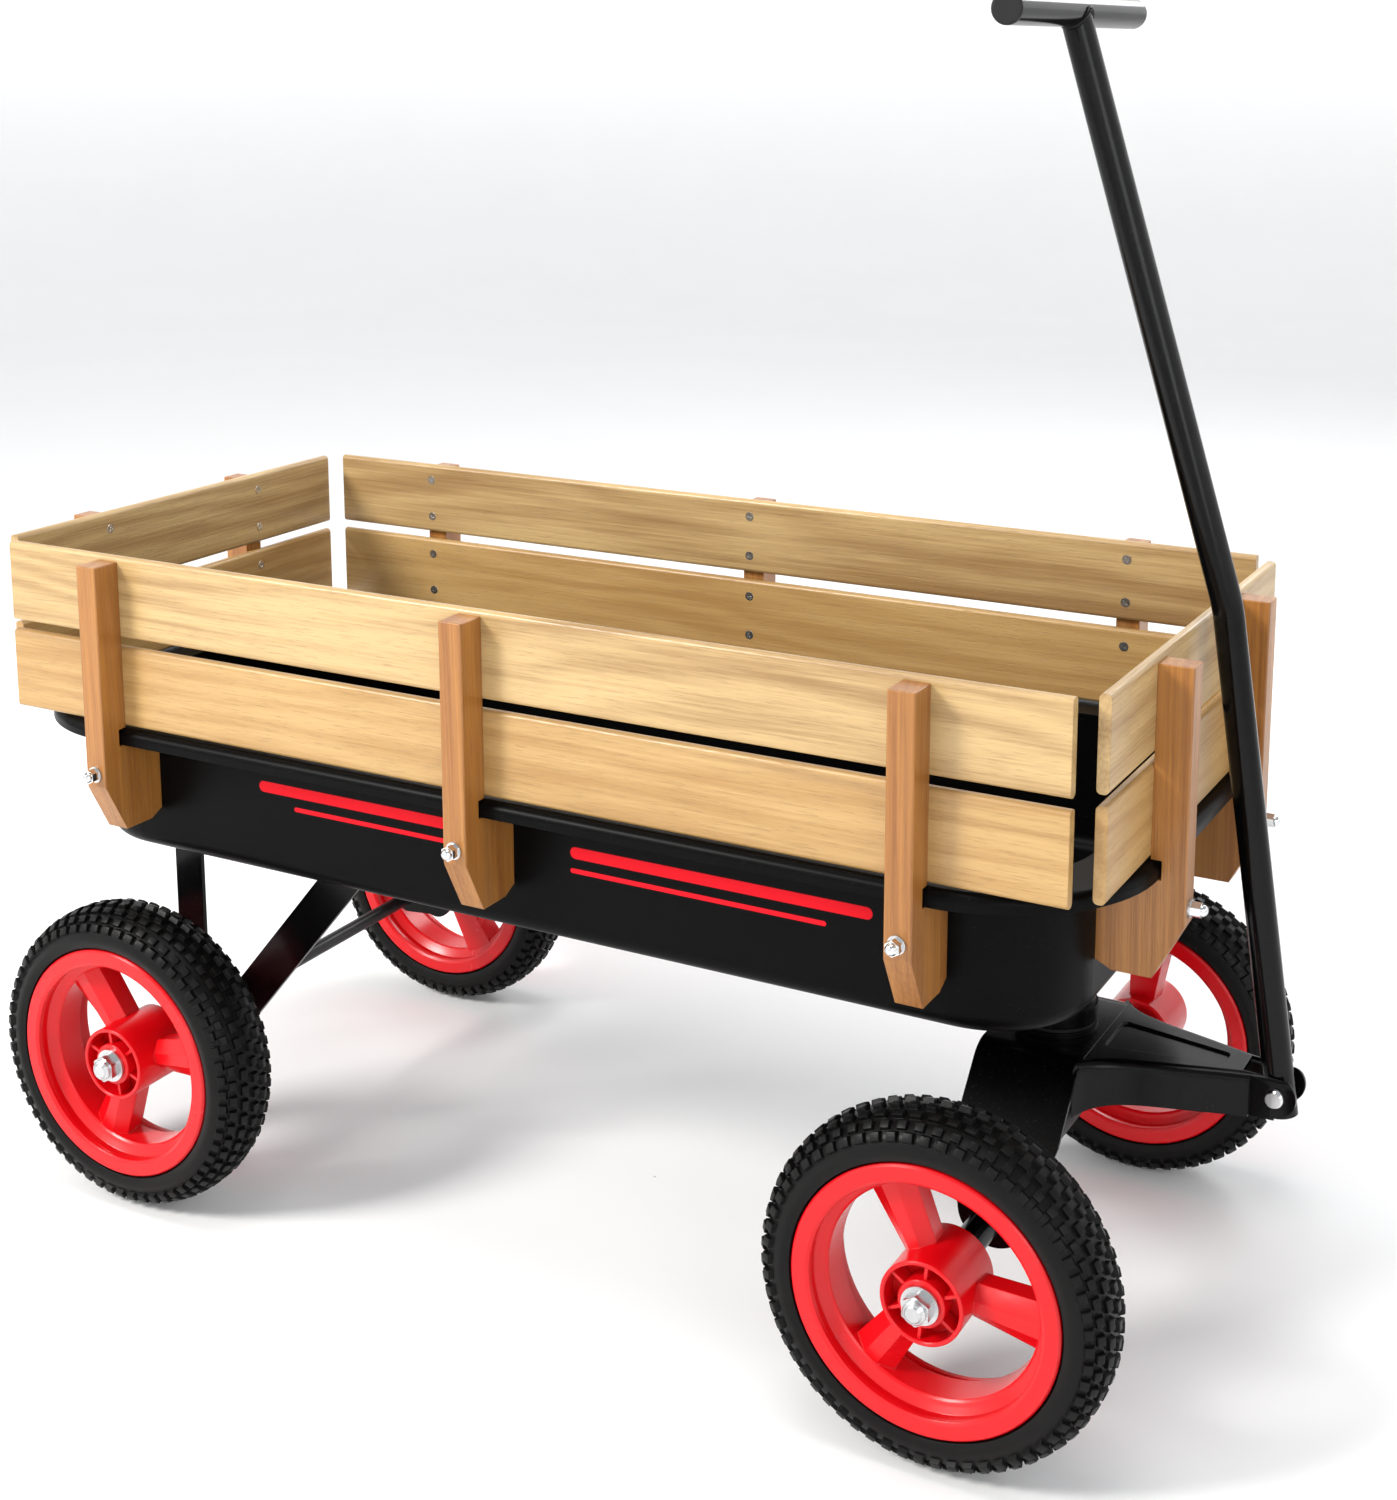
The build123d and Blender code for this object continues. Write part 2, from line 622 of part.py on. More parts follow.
def make_kingpin_nut():
    """A washer and lock nut below the bolster's top plate."""
    top = saddle_top_z - saddle_t - side_play
    washer = rod_z(axle_washer_d / 2, top - axle_washer_t, top, front_axle_x)
    prism = extrude(RegularPolygon(nut_af / 2, 6, major_radius=False), amount=nut_h)
    nut = Pos(front_axle_x, 0, top - axle_washer_t - nut_h) * prism
    return washer + nut - rod_z(kingpin_d / 2, 0, past, front_axle_x)


# ---------------------------------------------------------------- handle
def lean_point(start, lean, length):
    angle = math.radians(lean)
    return (start[0] - length * math.sin(angle), 0, start[2] + length * math.cos(angle))


def make_handle():
    """One tube with a slight bend, from the foot between the ears up to the grip."""
    pivot = (pivot_x, 0, pivot_z)
    foot = lean_point(pivot, lower_lean, -foot_below_pivot)
    bend = lean_point(pivot, lower_lean, lower_len)
    top = lean_point(bend, upper_lean, upper_len)
    path = FilletPolyline(foot, bend, top, radius=bend_r)
    plane = Plane(origin=foot, z_dir=path % 0)
    tube = sweep(plane * Circle(handle_d / 2), path=path)
    tube -= sweep(plane * Circle(handle_d / 2 - handle_wall), path=path)
    tube -= rod_y(grip_d / 2, -past, past, grip_x, grip_z)
    tube -= rod_y(pivot_d / 2 + running_play, -past, past, pivot_x, pivot_z)
    return tube


def make_grip():
    half = grip_len / 2 - cap_h
    bar = rod_y(grip_d / 2, -half, half, grip_x, grip_z)
    return bar - rod_y(grip_d / 2 - handle_wall, -past, past, grip_x, grip_z)


def make_grip_cap(side):
    """A plug with a rounded head that closes one end of the grip."""
    half = grip_len / 2 - cap_h
    head = rod_y(grip_d / 2, half, half + cap_h, grip_x, grip_z)
    head = fillet(head.edges().group_by(Axis.Y)[-1], 2.0)
    cap = head + rod_y(grip_d / 2 - handle_wall, half - cap_plug, half + 1, grip_x, grip_z)
    return cap if side > 0 else mirror(cap, Plane.XZ)


def make_pivot_bolt():
    """A domed bolt through both ears and the handle's foot."""
    out = ear_half_gap + saddle_t
    dome = Pos(0, -out, 0) * Sphere(pivot_head_r)
    dome &= block(-past, past, -out - pivot_head_h, -out, -past, past)
    bolt = dome + rod_y(pivot_d / 2, -out, out + washer_t + cap_nut_h - 1)
    return Pos(pivot_x, 0, pivot_z) * bolt


def make_pivot_nut():
    out = ear_half_gap + saddle_t
    dome = Pos(cap_nut_h, 0, 0) * Sphere(pivot_dome_r)
    nut = make_hex(pivot_nut_af, cap_nut_h) + (dome & block(0, past, -past, past, -past, past))
    nut += rod_x(pivot_washer_r, -washer_t, 0)
    nut -= rod_x(pivot_d / 2, -washer_t - 1, cap_nut_h - 1)
    return Pos(pivot_x, out + washer_t, pivot_z) * Rot(0, 0, 90) * nut


def make_pivot_spacers():
    """Thin washers that centre the handle's foot between the ears."""
    ring = make_washer(pivot_washer_r, pivot_d / 2, spacer_t)
    inner = handle_d / 2 + spacer_gap
    return [Pos(pivot_x, s * inner, pivot_z) * Rot(0, 0, 90 * s) * ring for s in (-1, 1)]


# ---------------------------------------------------------------- write every node
def main():
    os.makedirs("parts", exist_ok=True)
    save("tray", make_tray())

    stake, bolts, washers, nuts, screws = make_stake(), [], [], [], []
    boards = {}
    for level, z in zip(("lower", "upper"), board_zs):
        side = make_board(side_board_half_x, z, -side_face_y)
        end = make_board(end_board_half_y, z, -end_face_x)
        boards[f"board_right_{level}"] = side
        boards[f"board_left_{level}"] = Rot(0, 0, 180) * side
        boards[f"board_front_{level}"] = Rot(0, 0, 90) * end
        boards[f"board_rear_{level}"] = Rot(0, 0, -90) * end
    for name, turn, wall, along in stake_places():
        place = at_stake(turn, wall, along)
        save(name, with_screws(place * stake, turn, wall, along))
        for board in boards:
            if name.split("_")[1] == board.split("_")[1]:
                boards[board] = with_screws(boards[board], turn, wall, along)
        bolts.append(place * Pos(0, 0, stake_bolt_z) * make_stake_bolt())
        washer = make_washer(washer_d / 2, bolt_d / 2, washer_t)
        washers.append(place * Pos(stake_out, 0, stake_bolt_z) * washer)
        nuts.append(place * Pos(stake_out + washer_t, 0, stake_bolt_z) * make_cap_nut())
        screws += [place * Pos(stake_in - board_t, 0, z) * make_screw() for z in screw_heights()]
    for board, shape in boards.items():
        save(board, shape)
    save("board_screws", *screws)
    save("stake_bolts", *bolts)
    save("stake_washers", *washers)
    save("stake_cap_nuts", *nuts)

    for side, name in ((-1, "right"), (1, "left")):
        save(f"rear_leg_{name}", make_rear_leg(side))
        save(f"rear_brace_{name}", make_brace(side))
    save("tray_floor_studs", *[make_floor_stud(*spot) for spot in stud_spots()])
    for end, x, inner in (("rear", rear_axle_x, leg_y + strap_t), ("front", front_axle_x, saddle_leg_y)):
        save(f"{end}_axle", make_axle(x))
        save(f"{end}_axle_sleeves", *make_sleeve(x, inner))
        save(f"{end}_axle_washers", *make_axle_washers(x))
        save(f"{end}_axle_nuts", *make_axle_nuts(x))

    tyre, rim, bushes = make_tyre(), make_rim(), make_bushes()
    for end, x in (("front", front_axle_x), ("rear", rear_axle_x)):
        for side, name in ((-1, "right"), (1, "left")):
            wheel = f"{end}_{name}"
            face = Pos(x, side * track / 2, wheel_r) * Rot(0, 0, 0 if side > 0 else 180)
            turned = face * Rot(0, wheel_turn[wheel], 0)
            save(f"tyre_{wheel}", turned * tyre)
            save(f"rim_{wheel}", turned * rim)
            save(f"bushes_{wheel}", *[turned * bush for bush in bushes])

    save("turntable_pedestal", make_pedestal())
    save("turntable_bearing", make_bearing())
    save("kingpin", make_kingpin())
    save("kingpin_nut", make_kingpin_nut())
    save("steering_bolster", make_bolster())
    save("handle_tube", make_handle())
    save("grip", make_grip())
    save("grip_cap_right", make_grip_cap(-1))
    save("grip_cap_left", make_grip_cap(1))
    save("pivot_bolt", make_pivot_bolt())
    save("pivot_nut", make_pivot_nut())
    save("pivot_spacers", *make_pivot_spacers())


main()
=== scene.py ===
import json
import math

import bmesh
import bpy
from mathutils import Matrix, Vector


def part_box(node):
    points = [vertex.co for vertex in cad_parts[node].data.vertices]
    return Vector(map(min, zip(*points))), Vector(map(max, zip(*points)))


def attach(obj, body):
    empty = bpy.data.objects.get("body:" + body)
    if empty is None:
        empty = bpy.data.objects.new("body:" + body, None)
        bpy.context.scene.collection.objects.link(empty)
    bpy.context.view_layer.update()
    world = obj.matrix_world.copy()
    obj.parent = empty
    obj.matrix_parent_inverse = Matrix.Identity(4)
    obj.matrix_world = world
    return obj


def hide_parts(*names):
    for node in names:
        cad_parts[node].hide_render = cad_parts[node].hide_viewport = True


# Looks of the kids' pull wagon: varnished wooden sides on a black enamelled tray, red spoked wheels with
# block-treaded foam tyres, black steering bolster and handle.
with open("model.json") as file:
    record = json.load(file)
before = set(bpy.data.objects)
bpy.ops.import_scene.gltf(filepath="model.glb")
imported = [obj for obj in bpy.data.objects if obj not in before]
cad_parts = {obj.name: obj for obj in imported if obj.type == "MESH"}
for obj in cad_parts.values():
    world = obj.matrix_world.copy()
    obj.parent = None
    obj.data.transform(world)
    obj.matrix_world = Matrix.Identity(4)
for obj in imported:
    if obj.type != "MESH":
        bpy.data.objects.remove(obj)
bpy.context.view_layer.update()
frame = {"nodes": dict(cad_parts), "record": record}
NODES = frame["nodes"]
MM = 0.001

# ---------------------------------------------------------------- camera
CAMERA_AT = Vector((0.8466, -1.4456, 0.9378))
CAMERA_AZIMUTH = 28.46
CAMERA_ELEVATION = 10.51
CAMERA_LENS = 51.4
CAMERA_SHIFT = (-0.0144, -0.2)

# ---------------------------------------------------------------- sizes of what is added here
TREAD_AROUND = 60
TREAD_ROWS = 7
TREAD_HEIGHT = 3.4 * MM
TREAD_SPREAD = math.radians(23.0)      # between two rows, about the crown's section
CROWN_WIDTH = 29.0 * MM                # half axes of the crown's oval section
CROWN_HEIGHT = 18.0 * MM
SCREW_EDGE = 15.0 * MM
STRIPE_Z = 0.362
WELD_R = 2.1 * MM
PLATED_AXLE_Y = 0.196                  # beyond this, from the middle, an axle is bright plate; nearer the middle it is coloured dark
TRAY_WALL_Y = 0.1838                   # just inside the outer face of the tray's long sides
GRIP_END_LEAN = math.radians(17.0)     # of the handle tube's top end, rearwards from upright


# ---------------------------------------------------------------- node graphs
class Value:
    """A socket that takes part in arithmetic: every operator adds a Math node."""

    def __init__(self, graph, socket):
        self.graph = graph
        self.socket = socket

    def __add__(self, other):
        return self.graph.maths("ADD", self, other)

    def __sub__(self, other):
        return self.graph.maths("SUBTRACT", self, other)

    def __rsub__(self, other):
        return self.graph.maths("SUBTRACT", other, self)

    def __mul__(self, other):
        return self.graph.maths("MULTIPLY", self, other)

    def __truediv__(self, other):
        return self.graph.maths("DIVIDE", self, other)

    def __gt__(self, other):
        return self.graph.maths("GREATER_THAN", self, other)

    __radd__ = __add__
    __rmul__ = __mul__


class Graph:
    """A shader or geometry node tree that is written as expressions."""

    def __init__(self, tree):
        self.tree = tree

    def node(self, kind, settings=None, values=None, output=0):
        made = self.tree.nodes.new(kind)
        for key, setting in (settings or {}).items():
            setattr(made, key, setting)
        for key, value in (values or {}).items():
            if isinstance(value, Value):
                self.tree.links.new(value.socket, made.inputs[key])
            else:
                made.inputs[key].default_value = value
        return Value(self, made.outputs[output]) if made.outputs else made

    def maths(self, operation, *terms):
        return self.node("ShaderNodeMath", {"operation": operation}, dict(enumerate(terms)))

    def vector(self, x, y, z):
        return self.node("ShaderNodeCombineXYZ", None, {0: x, 1: y, 2: z})

    def split(self, vector):
        made = self.node("ShaderNodeSeparateXYZ", None, {0: vector})
        return [Value(self, made.socket.node.outputs[n]) for n in range(3)]


class Paint(Graph):
    """One procedural material, whose patterns read the wagon's own coordinates in metres."""

    def __init__(self, name):
        self.material = bpy.data.materials.new(name)
        self.material.use_nodes = True
        super().__init__(self.material.node_tree)
        self.tree.nodes.clear()
        self.place = self.node("ShaderNodeTexCoord", output="Object")

    def noise(self, vector, scale=1.0, detail=2.0, rough=0.5, distortion=0.0):
        return self.node("ShaderNodeTexNoise", None, {
            "Vector": vector, "Scale": scale, "Detail": detail,
            "Roughness": rough, "Distortion": distortion})

    def mix(self, share, low, high):
        return self.node("ShaderNodeMix", {"data_type": "RGBA"}, {0: share, 6: low, 7: high}, output=2)

    def ease(self, value, low, high):
        """0 below low, 1 above high, and a smooth step between them."""
        return self.node("ShaderNodeMapRange", {"interpolation_type": "SMOOTHSTEP"}, {
            "Value": value, "From Min": low, "From Max": high})

    def finish(self, colour, rough, height=None, depth=0.0, edge=0.0, **fixed):
        """The surface: edge is how far sharp edges are rounded over, depth the relief's full height."""
        values = {"Base Color": colour, "Roughness": rough}
        normal = None
        if edge:
            normal = self.node("ShaderNodeBevel", {"samples": 6}, {"Radius": edge})
        if height is not None:
            relief = {"Height": height, "Distance": depth, "Strength": 1.0}
            if normal is not None:
                relief["Normal"] = normal
            normal = self.node("ShaderNodeBump", None, relief)
        if normal is not None:
            values["Normal"] = normal
        for name, number in fixed.items():
            values[name.replace("_", " ")] = number
        shader = self.node("ShaderNodeBsdfPrincipled", None, values)
        self.node("ShaderNodeOutputMaterial", None, {"Surface": shader})
        return self.material


# ---------------------------------------------------------------- finishes
def wood(name, along, pale, deep, fleck_share, ring_share, board_rows=False):
    """Varnished hardwood, its grain along one axis."""
    paint = Paint(name)
    x, y, z = paint.split(paint.place)
    if board_rows:
        low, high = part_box("board_right_lower"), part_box("board_right_upper")
        upper = z > (low[1].z + high[0].z) / 2
        crossing = {"X": y, "Y": x}[along]
        shift = upper * 3.7 + (crossing > 0) * 1.9
    else:
        shift = x * 40.0 + y * 9.0
    run, across, depth = {"X": (x, z, y), "Y": (y, z, x), "Z": (z, x, y)}[along]
    run = run + shift
    warp = paint.noise(paint.vector(run * 1.5, across * 8.0, depth * 8.0), detail=3.0)
    rings = paint.maths("SINE", across * 260.0 + warp * 40.0 + depth * 90.0) * 0.5 + 0.5
    fibre = paint.noise(paint.vector(run * 9.0, across * 420.0, depth * 420.0), detail=4.0, rough=0.65)
    cloud = paint.noise(paint.vector(run * 2.4, across * 13.0, depth * 13.0), detail=3.0)
    streak_field = paint.noise(
        paint.vector(run * 1.3 + 7.0, across * 26.0, depth * 20.0), detail=4.0, rough=0.6)
    streak = paint.ease(streak_field, 0.56, 0.70)
    pores = paint.noise(paint.vector(run * 60.0, across * 1500.0, depth * 1500.0), detail=2.0)
    pore = paint.ease(pores, 0.58, 0.70)

    tone = rings * ring_share + fibre * 0.50 + cloud * 0.62
    tone = paint.ease(tone, 0.36 + ring_share * 0.2, 0.76 + ring_share * 0.6)
    colour = paint.mix(tone, deep, pale)
    if board_rows:
        colour = paint.mix(0.42 - upper * 0.42, colour, (0.44, 0.23, 0.055, 1.0))
    colour = paint.mix(streak * 0.5, colour, (0.25, 0.13, 0.045, 1.0))
    colour = paint.mix(pore * 0.26, colour, (0.22, 0.10, 0.035, 1.0))

    cells = paint.node("ShaderNodeTexVoronoi", {"feature": "F1"}, {
        "Vector": paint.vector(run * 2.1, across * 8.0, depth * 8.0), "Scale": 1.0}, output="Distance")
    knot = 1 - paint.ease(cells, 0.035, 0.075)
    halo = 1 - paint.ease(cells, 0.06, 0.20)
    colour = paint.mix(halo * 0.25, colour, (0.40, 0.20, 0.07, 1.0))
    colour = paint.mix(knot * 0.65, colour, (0.17, 0.075, 0.028, 1.0))
    if fleck_share:
        flecks = paint.noise(paint.vector(run * 190.0, across * 60.0, depth * 60.0), detail=2.0)
        colour = paint.mix(paint.ease(flecks, 0.52, 0.66) * fleck_share, colour, (0.22, 0.085, 0.025, 1.0))
    rough = 0.44 - tone * 0.08 + pore * 0.1
    return paint.finish(colour, rough, fibre - pore * 0.6, 0.00018, edge=0.9 * MM,
                        Coat_Weight=0.22, Coat_Roughness=0.22)


def enamel(name, shade, rough, peel, gloss, stripes=False, edge=0.7 * MM):
    """Black baked enamel with a faint orange peel and a little dust."""
    paint = Paint(name)
    peel_field = paint.noise(paint.place, 260.0, detail=2.0)
    cloud = paint.noise(paint.place, 9.0, detail=4.0)
    speck = paint.ease(paint.noise(paint.place, 900.0, detail=1.0), 0.70, 0.78)
    light = tuple(channel * 1.9 for channel in shade)
    colour = paint.mix(cloud, (*shade, 1.0), (*light, 1.0))
    colour = paint.mix(speck * 0.2, colour, (0.10, 0.10, 0.10, 1.0))
    if stripes:
        colour = paint.mix(stripe_mask(paint), colour, (0.80, 0.010, 0.020, 1.0))
    return paint.finish(colour, cloud * 0.10 + rough - 0.05, peel_field, peel, edge=edge,
                        Specular_IOR_Level=gloss)


def stripe_mask(paint):
    """Plain red pinstripes with round ends on the tray's two long sides, between the uprights."""
    x, y, z = paint.split(paint.place)
    outside = paint.maths("ABSOLUTE", y) > TRAY_WALL_Y
    mask = 0.0
    for first, last, height, half in STRIPES:
        middle, reach = (first + last) / 2, (last - first) / 2 - half
        beyond = paint.maths("MAXIMUM", paint.maths("ABSOLUTE", x - middle) - reach, 0.0)
        distance = paint.maths("SQRT", beyond * beyond + (z - height) * (z - height))
        mask = paint.maths("MAXIMUM", 1 - paint.ease(distance, half - 0.0004, half + 0.0004), mask)
    return mask * outside


def red_plastic():
    """Glossy moulded plastic with faint flow marks."""
    paint = Paint("red_plastic")
    flow = paint.noise(paint.place, 16.0, detail=3.0, distortion=1.2)
    grain = paint.noise(paint.place, 700.0, detail=1.0)
    colour = paint.mix(flow, (0.58, 0.001, 0.004, 1.0), (0.70, 0.003, 0.008, 1.0))
    return paint.finish(colour, 0.22 + flow * 0.08, flow * 0.7 + grain * 0.05, 0.0001, edge=1.3 * MM,
                        Specular_IOR_Level=0.40)


def foam_tyre():
    """Matt black foam skin, very slightly pitted."""
    paint = Paint("foam_tyre")
    pits = paint.noise(paint.place, 1100.0, detail=2.0)
    cloud = paint.noise(paint.place, 26.0, detail=3.0)
    colour = paint.mix(cloud, (0.0015, 0.0015, 0.0015, 1.0), (0.005, 0.0047, 0.0044, 1.0))
    return paint.finish(colour, 0.34 + cloud * 0.12, pits, 0.00008, edge=0.5 * MM, Specular_IOR_Level=0.16)


def metal(name, tint, rough, wear):
    """Plated steel with fine scratches and a slightly cloudy plate."""
    paint = Paint(name)
    x, y, z = paint.split(paint.place)
    scratch = paint.noise(paint.vector(x * 300.0, y * 300.0, z * 2600.0), detail=2.0)
    cloud = paint.noise(paint.place, 120.0, detail=3.0)
    dull = tuple(channel * (1 - wear) for channel in tint)
    colour = paint.mix(cloud, (*tint, 1.0), (*dull, 1.0))
    return paint.finish(colour, rough + cloud * 0.14, scratch, 0.000001, Metallic=1.0)


def axle_finish():
    """An axle rod: dark between the wheels, bright plate on the ends that stick out of the nuts."""
    paint = Paint("axle_rod")
    _, y, _ = paint.split(paint.place)
    end = paint.ease(paint.maths("ABSOLUTE", y), PLATED_AXLE_Y, PLATED_AXLE_Y + 2 * MM)
    cloud = paint.noise(paint.place, 140.0, detail=3.0)
    # dark colour between the wheels, bright plate beyond PLATED_AXLE_Y
    colour = paint.mix(end, (0.006, 0.006, 0.0065, 1.0), (0.62, 0.63, 0.64, 1.0))
    colour = paint.mix(cloud * 0.2, colour, (0.02, 0.02, 0.02, 1.0))
    shader_rough = 0.34 - end * 0.08 + cloud * 0.1
    return paint.finish(colour, shader_rough, cloud, 0.00003, edge=0.4 * MM, Metallic=end)


def black_plastic(name, rough):
    """Moulded black nylon or plastic."""
    paint = Paint(name)
    grain = paint.noise(paint.place, 800.0, detail=2.0)
    cloud = paint.noise(paint.place, 40.0, detail=2.0)
    colour = paint.mix(cloud, (0.005, 0.005, 0.0055, 1.0), (0.012, 0.012, 0.013, 1.0))
    return paint.finish(colour, rough + grain * 0.1, grain, 0.00006, edge=0.5 * MM, Specular_IOR_Level=0.3)


rear_stake, middle_stake, front_stake = (
    (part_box(f"stake_right_{place}")[0].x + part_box(f"stake_right_{place}")[1].x) / 2
    for place in ("rear", "middle", "front"))
STRIPES = (
    (rear_stake + 0.115, middle_stake - 0.045, STRIPE_Z, 0.0045),
    (rear_stake + 0.150, middle_stake - 0.045, STRIPE_Z - 0.014, 0.0018),
    (middle_stake + 0.060, front_stake - 0.045, STRIPE_Z - 0.002, 0.0045),
    (middle_stake + 0.060, front_stake - 0.080, STRIPE_Z - 0.016, 0.0018),
)
PALE, DEEP = (0.56, 0.385, 0.170, 1.0), (0.30, 0.170, 0.058, 1.0)
FINISH = {
    "side_board": wood("side_board_wood", "X", PALE, DEEP, 0.0, 0.14, board_rows=True),
    "end_board": wood("end_board_wood", "Y", PALE, DEEP, 0.0, 0.14, board_rows=True),
    "stake_wood": wood("stake_wood", "Z", (0.43, 0.180, 0.034, 1.0), (0.25, 0.088, 0.014, 1.0), 0.42, 0.10),
    "tray": enamel("tray_enamel", (0.0012, 0.0012, 0.0013), 0.36, 0.00001, 0.06, stripes=True),
    "black_enamel": enamel("black_enamel", (0.0010, 0.0010, 0.0011), 0.20, 0.00001, 0.16),
    "gloss_black": enamel("gloss_black", (0.0015, 0.0015, 0.0017), 0.17, 0.00001, 0.20, edge=0.4 * MM),
    "red_plastic": red_plastic(),
    "foam_tyre": foam_tyre(),
    "zinc_plate": metal("zinc_plate", (0.66, 0.67, 0.68), 0.22, 0.25),
    "bright_chrome": metal("bright_chrome", (0.78, 0.79, 0.80), 0.08, 0.10),
    "axle": axle_finish(),
    "nylon": black_plastic("nylon", 0.42),
    "black_plastic": black_plastic("black_plastic", 0.30),
}


def finish_of(node):
    """The finish that a CAD node takes: its record slot's, apart from the boards and the tray."""
    slots = {row["node"]: row["material_slot"] for row in frame["record"]["subparts"]}
    slot = slots[node]
    if node in ("front_axle", "rear_axle"):
        return FINISH["axle"]
    if slot == "board_wood":
        return FINISH["side_board" if node.split("_")[1] in ("right", "left") else "end_board"]
    return FINISH["tray" if node == "tray" else slot]


for node, shape in NODES.items():
    shape.data.materials.clear()
    shape.data.materials.append(finish_of(node))


# ---------------------------------------------------------------- mesh helpers
def piece_from(name, mesh, finish, slot, body, *nodes, smooth=35.0):
    """A finished piece that rides on a body and stands for some CAD nodes."""
    mesh.shade_smooth()
    mesh.set_sharp_from_angle(angle=math.radians(smooth))
    mesh.materials.clear()
    mesh.materials.append(FINISH[finish])
    piece = bpy.data.objects.new(name, mesh)
    bpy.context.scene.collection.objects.link(piece)
    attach(piece, body)
    if nodes:
        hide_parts(*nodes)
    return piece


def loops_mesh(name, loops, close_loops=True):
    """A skin over rings of points; the last ring joins the first when close_loops is true."""
    shape = bmesh.new()
    rings = [[shape.verts.new(point) for point in loop] for loop in loops]
    pairs = list(zip(rings, rings[1:])) + ([(rings[-1], rings[0])] if close_loops else [])
    for low, high in pairs:
        for n in range(len(low)):
            following = (n + 1) % len(low)
            shape.faces.new((low[n], low[following], high[following], high[n]))
    bmesh.ops.recalc_face_normals(shape, faces=shape.faces)
    mesh = bpy.data.meshes.new(name)
    shape.to_mesh(mesh)
    shape.free()
    return mesh


class Modifier(Graph):
    """A geometry node tree with named inputs, applied to an object and then made a plain mesh."""

    def __init__(self, name, inputs):
        super().__init__(bpy.data.node_groups.new(name, "GeometryNodeTree"))
        self.tree.interface.new_socket("Geometry", in_out="INPUT", socket_type="NodeSocketGeometry")
        self.tree.interface.new_socket("Geometry", in_out="OUTPUT", socket_type="NodeSocketGeometry")
        self.names = {}
        for label, kind in inputs.items():
            self.names[label] = self.tree.interface.new_socket(
                label, in_out="INPUT", socket_type=kind).identifier
        self.given = self.tree.nodes.new("NodeGroupInput")

    def input(self, label):
        return Value(self, self.given.outputs[label])

    def end(self, geometry):
        real = self.node("GeometryNodeRealizeInstances", None, {"Geometry": geometry})
        coated = self.node("GeometryNodeSetMaterial", None, {
            "Geometry": real, "Material": self.input("Finish")})
        self.node("NodeGroupOutput", None, {"Geometry": coated})

    def mesh_on(self, base, values):
        """The mesh that this tree makes from a base mesh."""
        holder = bpy.data.objects.new("growing", base)
        bpy.context.scene.collection.objects.link(holder)
        modifier = holder.modifiers.new("growing", "NODES")
        modifier.node_group = self.tree
        for label, value in values.items():
            modifier[self.names[label]] = value
        bpy.context.view_layer.update()
        evaluated = holder.evaluated_get(bpy.context.evaluated_depsgraph_get())
        mesh = bpy.data.meshes.new_from_object(evaluated)
        bpy.data.objects.remove(holder)
        return mesh


# ---------------------------------------------------------------- tyres
def tread_block():
    """One tread block, 1 unit long, wide and high: a block that narrows to its top, with eased edges."""
    shape = bmesh.new()
    bmesh.ops.create_cube(shape, size=1.0)
    for corner in shape.verts:
        if corner.co.z > 0:
            corner.co.x *= 0.80
            corner.co.y *= 0.78
    top_edges = [edge for edge in shape.edges if all(v.co.z > 0 for v in edge.verts)]
    bmesh.ops.bevel(shape, geom=top_edges, offset=0.09, segments=2, profile=0.6, affect="EDGES")
    mesh = bpy.data.meshes.new("tread_block")
    shape.to_mesh(mesh)
    shape.free()
    block = bpy.data.objects.new("tread_block", mesh)
    bpy.context.scene.collection.objects.link(block)
    return block


def tread_tree():
    """Rows of blocks over a crown of oval section, every other row half a block round."""
    tree = Modifier("tread", {
        "Blocks around": "NodeSocketInt", "Rows": "NodeSocketInt", "Row angle": "NodeSocketFloat",
        "Section centre": "NodeSocketFloat", "Half width": "NodeSocketFloat",
        "Half height": "NodeSocketFloat", "Block": "NodeSocketObject", "Finish": "NodeSocketMaterial"})
    around = tree.input("Blocks around")
    rows = tree.input("Rows")
    index = tree.node("GeometryNodeInputIndex")
    row = tree.maths("FLOOR", (index + 0.5) / around)
    step = index - row * around
    odd = tree.maths("MODULO", row, 2.0)
    turn = (step + odd * 0.5) * math.tau / around
    lean = (row - (rows - 1) / 2) * tree.input("Row angle")
    side = tree.maths("SINE", lean) * tree.input("Half width")
    out = tree.maths("COSINE", lean) * tree.input("Half height") + tree.input("Section centre")
    place = tree.vector(out * tree.maths("SINE", turn), side, out * tree.maths("COSINE", turn))
    points = tree.node("GeometryNodeMeshLine", None, {"Count": around * rows})
    placed = tree.node("GeometryNodeSetPosition", None, {"Geometry": points, "Position": place})
    facing = tree.node("FunctionNodeEulerToRotation", None, {
        "Euler": tree.vector(0 - lean * 0.9, turn, 0.0)})
    block = tree.node("GeometryNodeObjectInfo", None, {"Object": tree.input("Block")}, output="Geometry")
    outer = tree.maths("ABSOLUTE", lean) > math.radians(60.0)
    length = (9.6 - odd * 1.6 - outer * 1.2) * MM
    size = tree.vector(length, (7.2 + outer * 0.6) * MM, TREAD_HEIGHT * 2)
    blocks = tree.node("GeometryNodeInstanceOnPoints", None, {
        "Points": placed, "Instance": block, "Rotation": facing, "Scale": size})
    joined = tree.tree.nodes.new("GeometryNodeJoinGeometry")
    tree.tree.links.new(tree.input("Geometry").socket, joined.inputs[0])
    tree.tree.links.new(blocks.socket, joined.inputs[0])
    tree.end(Value(tree, joined.outputs[0]))
    return tree


